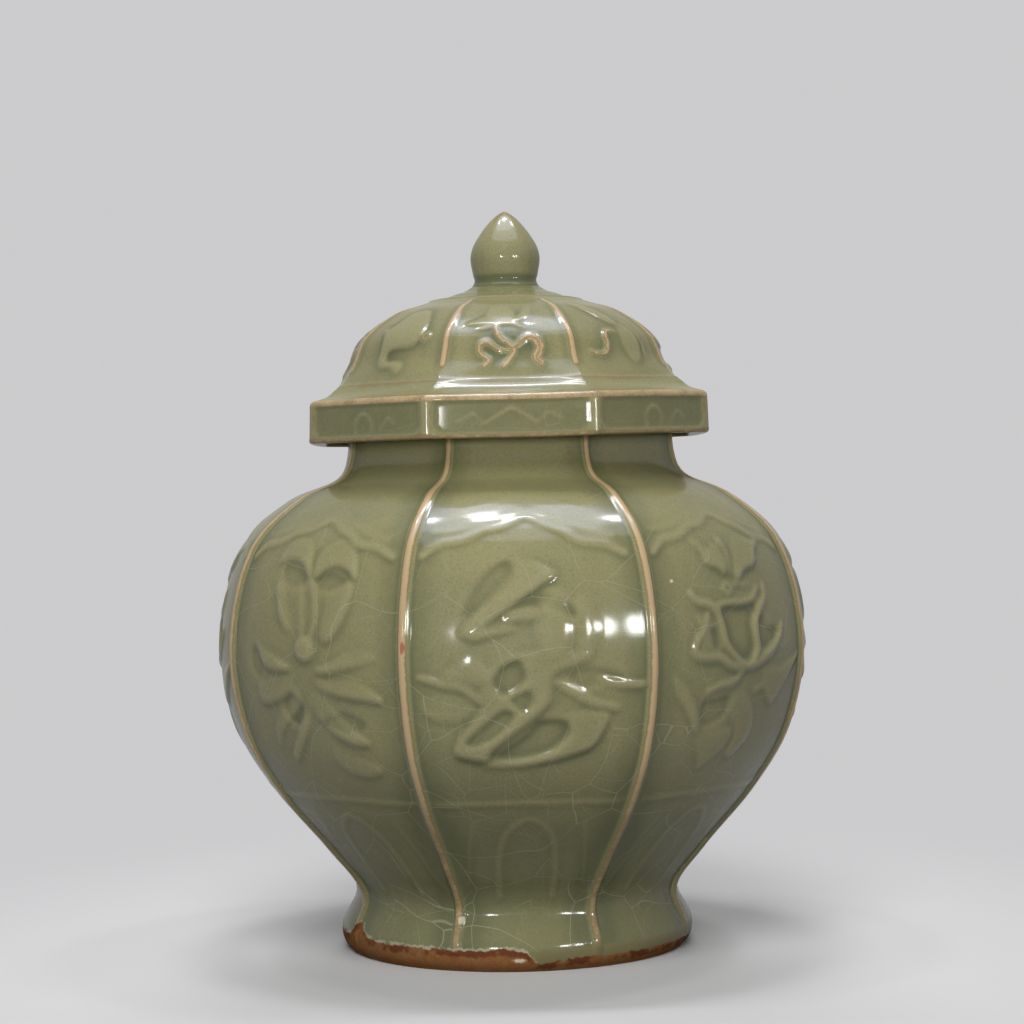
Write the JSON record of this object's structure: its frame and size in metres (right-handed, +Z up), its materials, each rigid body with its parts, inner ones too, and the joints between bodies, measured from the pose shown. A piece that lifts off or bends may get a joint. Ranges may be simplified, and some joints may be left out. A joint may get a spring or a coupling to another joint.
{
  "type": "lidded jar",
  "caption": "Octagonal bulbous stoneware storage jar with moulded ribbed panels, flared foot ring, short neck, and a lift-off domed cover with a bud finial",
  "frame": {"origin": "centre of the foot ring, on the plane the jar stands on", "axes": "+Z up along the jar's axis; the panel seen at the front of the picture faces -Y; +X is to the right seen from the front"},
  "size_m": [0.2144, 0.2144, 0.2704],
  "materials": {
    "jar_glaze": "glossy sage green celadon glaze",
    "lid_glaze": "glossy sage green celadon glaze",
    "bare_clay": "unglazed stoneware burnt orange-brown"
  },
  "bodies": {
    "jar": {"lower_wall": "jar_glaze", "upper_wall": "jar_glaze", "base_disc": "jar_glaze"},
    "lid": {"lid_cover": "lid_glaze", "lid_flange": "bare_clay", "lid_finial": "lid_glaze"}
  },
  "joints": [
    {"name": "lid_lift", "type": "slide", "parent": "jar", "child": "lid", "axis": [0, 0, 1], "range_m": [0, 0.08]}
  ]
}
